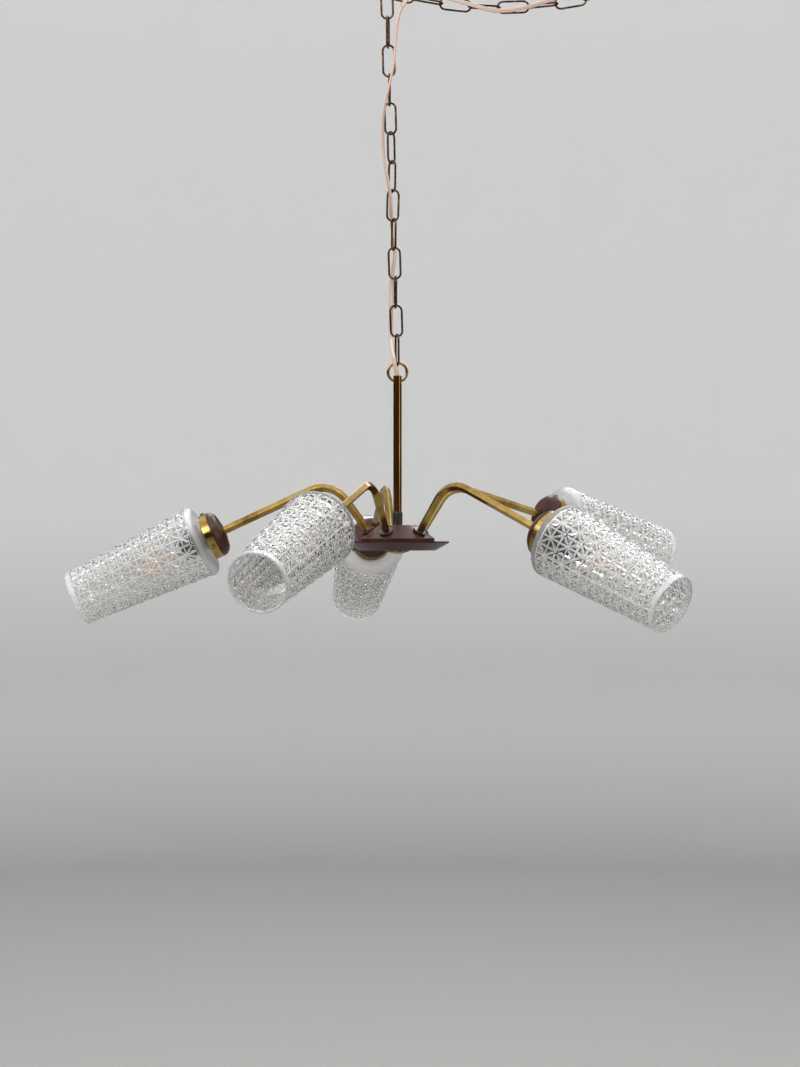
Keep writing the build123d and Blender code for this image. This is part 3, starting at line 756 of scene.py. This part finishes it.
SWAG_ROUTE = [
    SPLIT_POINT,
    (0.0215, -0.0056, -0.0735),
    (0.0295, -0.0064, -0.0660),
    (0.0405, -0.0066, -0.0628),
    (0.0570, -0.0060, -0.0650),
    (0.0780, -0.0066, -0.0708),
    (0.1010, -0.0097, -0.0785),
    (0.1320, -0.0102, -0.0876),
    (0.1680, -0.0100, -0.0824),
    (0.2000, -0.0098, -0.0716),
    (0.2280, -0.0097, -0.0620),
    (0.2540, -0.0096, -0.0556),
    (0.2710, -0.0095, -0.0490),
    (FLEX_ENTRY - 0.0005, -0.0095, -0.038),
    (FLEX_ENTRY, -0.0095, CANOPY_UNDER + 0.003),
]


def route_line(points):
    """The smooth line of a route: a NURBS spline with the points as its control points."""
    data = bpy.data.curves.new("route", "CURVE")
    data.dimensions = "3D"
    data.resolution_u = 10
    spline = data.splines.new("NURBS")
    spline.points.add(len(points) - 1)
    for place, point in zip(spline.points, points):
        place.co = (*point, 1)
    spline.order_u = 3
    spline.use_endpoint_u = True
    holder = bpy.data.objects.new("route", data)
    SCENE.collection.objects.link(holder)
    bpy.context.view_layer.update()
    line = bpy.data.meshes.new_from_object(holder.evaluated_get(bpy.context.evaluated_depsgraph_get()))
    spots = [vertex.co.copy() for vertex in line.vertices]
    bpy.data.objects.remove(holder)
    bpy.data.curves.remove(data)
    bpy.data.meshes.remove(line)
    return spots


def flex_section():
    """Two round strands side by side: (across, thick, place round its strand)."""
    strand = FLEX_THICK / 2
    apart = FLEX_WIDTH / 2 - strand
    section = []
    for side in (1, -1):
        for k in range(STRAND_POINTS):
            angle = radians(STRAND_OPEN + k * STRAND_STEP)
            share = k / (STRAND_POINTS - 1)
            section.append((side * (apart + strand * cos(angle)), side * strand * sin(angle), share))
    return section


def flex_mesh(name, spots, twist):
    """Twin flex along a line, turned by twist radians for each metre."""
    section = flex_section()
    count = len(section)
    points, faces, shares = [], [], []
    side = None
    travelled = 0.0
    for k, spot in enumerate(spots):
        before, after = spots[max(k - 1, 0)], spots[min(k + 1, len(spots) - 1)]
        along = (after - before).normalized()
        side = Vector((1, 0, 0)) if side is None else side
        side = (side - along * side.dot(along)).normalized()
        travelled += (spot - spots[max(k - 1, 0)]).length
        turned = Matrix.Rotation(twist * travelled, 3, along) @ side
        other = along.cross(turned)
        points += [spot + turned * x + other * y for x, y, _ in section]
    for row in range(len(spots) - 1):
        for k in range(count):
            after = (k + 1) % count
            low, high = row * count, (row + 1) * count
            faces.append((low + k, low + after, high + after, high + k))
            ends = (section[k][2], section[after][2])
            ends = (ends[0], 1.0 if ends[1] < ends[0] else ends[1])
            shares.append((ends[0], ends[1], ends[1], ends[0]))
    for start in (0, (len(spots) - 1) * count):
        for half in (0, count // 2):
            faces.append(tuple(start + half + k for k in range(count // 2)))
            shares.append((0.5,) * (count // 2))
        faces.append((start, start + count // 2 - 1, start + count // 2, start + count - 1))
        shares.append((0.0,) * 4)
    mesh = bpy.data.meshes.new(name)
    mesh.from_pydata(points, [], faces)
    layer = mesh.uv_layers.new(name="section")
    flat = [share for face in shares for share in face]
    layer.data.foreach_set("uv", [value for share in flat for value in (share, 0.5)])
    mesh.polygons.foreach_set("use_smooth", [True] * len(faces))
    mesh.materials.append(SHEATH)
    work = bmesh.new()
    work.from_mesh(mesh)
    bmesh.ops.recalc_face_normals(work, faces=work.faces)
    work.to_mesh(mesh)
    work.free()
    return mesh


def make_flex():
    for name, route, body, twist, exit_spot in (
        ("flex_drop", DROP_ROUTE, "chain", 5.0, DROP_ROUTE[0]),
        ("flex_swag", SWAG_ROUTE, "root", 3.0, SWAG_ROUTE[-1]),
    ):
        spots = route_line(route)
        made = piece(f"twin_{name}", flex_mesh(name, spots, twist), body, "flex_sheath", name)


# ---------------------------------------------------------------- studio
WALL_RADIUS = 6.0
WALL_HEIGHT = 7.0
COVE = 0.7
COVE_STEPS = 12
ROOM_SIDES = 96
BAND_RADIUS = 5.2
BAND_LOW = -1.5
BAND_HIGH = 0.9
BAND_SIDES = 64


def circle(work, r, z, sides):
    """New vertices round the Z axis."""
    turns = [2 * pi * k / sides for k in range(sides)]
    return [work.verts.new((r * cos(turn), r * sin(turn), z)) for turn in turns]


def make_stage():
    """Round pale room: floor, cove and wall, well outside every view's camera."""
    profile = [(WALL_RADIUS - COVE, 0.0)]
    for k in range(1, COVE_STEPS + 1):
        angle = k / COVE_STEPS * pi / 2
        profile.append((WALL_RADIUS - COVE + COVE * sin(angle), COVE * (1 - cos(angle))))
    profile.append((WALL_RADIUS, WALL_HEIGHT))
    work = bmesh.new()
    loops = [circle(work, r, FLOOR_Z + z, ROOM_SIDES) for r, z in profile]
    work.faces.new(loops[0])
    for near, far in zip(loops, loops[1:]):
        for k in range(ROOM_SIDES):
            after = (k + 1) % ROOM_SIDES
            work.faces.new((near[k], far[k], far[after], near[after])).smooth = True
    mesh = bpy.data.meshes.new("room")
    work.to_mesh(mesh)
    work.free()
    mesh.materials.append(studio_grey())
    room = bpy.data.objects.new("room", mesh)
    SCENE.collection.objects.link(room)


def make_reflection_band():
    """A dark band all round, seen only in gloss: it gives the brass and the enamel their hard edges."""
    work = bmesh.new()
    low, high = [circle(work, BAND_RADIUS, z, BAND_SIDES) for z in (BAND_LOW, BAND_HIGH)]
    for k in range(BAND_SIDES):
        after = (k + 1) % BAND_SIDES
        work.faces.new((low[k], high[k], high[after], low[after])).smooth = True
    mesh = bpy.data.meshes.new("dark_band")
    work.to_mesh(mesh)
    work.free()
    dark = material("dark_band", (0.03, 0.028, 0.026), 0.9)
    feed(dark, "Roughness", spread(dark, texture(dark, NOISE, 1.0), 0.8, 1.0))
    mesh.materials.append(dark)
    band = bpy.data.objects.new("dark_band", mesh)
    band.visible_camera = False
    band.visible_diffuse = False
    band.visible_transmission = False
    band.visible_shadow = False
    SCENE.collection.objects.link(band)


def area_light(name, place, aim, size, power, color=(1, 1, 1)):
    data = bpy.data.lights.new(name, "AREA")
    data.shape = "RECTANGLE"
    data.size, data.size_y = size
    data.energy = power
    data.color = color
    lamp = bpy.data.objects.new(name, data)
    lamp.location = place
    lamp.rotation_mode = "QUATERNION"
    lamp.rotation_quaternion = (Vector(aim) - Vector(place)).to_track_quat("-Z", "Y")
    lamp.visible_camera = False
    SCENE.collection.objects.link(lamp)


def make_lights():
    world = bpy.data.worlds.new("studio")
    world.use_nodes = True
    sky = world.node_tree.nodes["Background"]
    sky.inputs["Color"].default_value = (0.92, 0.915, 0.91, 1)
    sky.inputs["Strength"].default_value = 1.5
    SCENE.world = world
    hub = (STEM.x, 0, HUB_EDGE)
    area_light("window", (-2.2, -2.4, 1.1), hub, (2.2, 1.6), 45, (0.97, 0.98, 1.0))
    area_light("fill", (2.8, -1.6, -0.2), hub, (1.2, 2.0), 14, (1.0, 0.97, 0.93))
    area_light("back", (0.6, 2.6, 1.4), hub, (2.4, 0.8), 26)
    area_light("glint_left", (-1.0, -1.3, 1.5), hub, (0.22, 0.22), 9)
    area_light("glint_right", (1.1, -0.6, 1.6), hub, (0.22, 0.22), 8)
    SCENE.view_settings.view_transform = "Standard"


make_camera()
make_flex()
finish_cad_nodes()
make_shades()
make_filaments()
make_stage()
make_reflection_band()
make_lights()
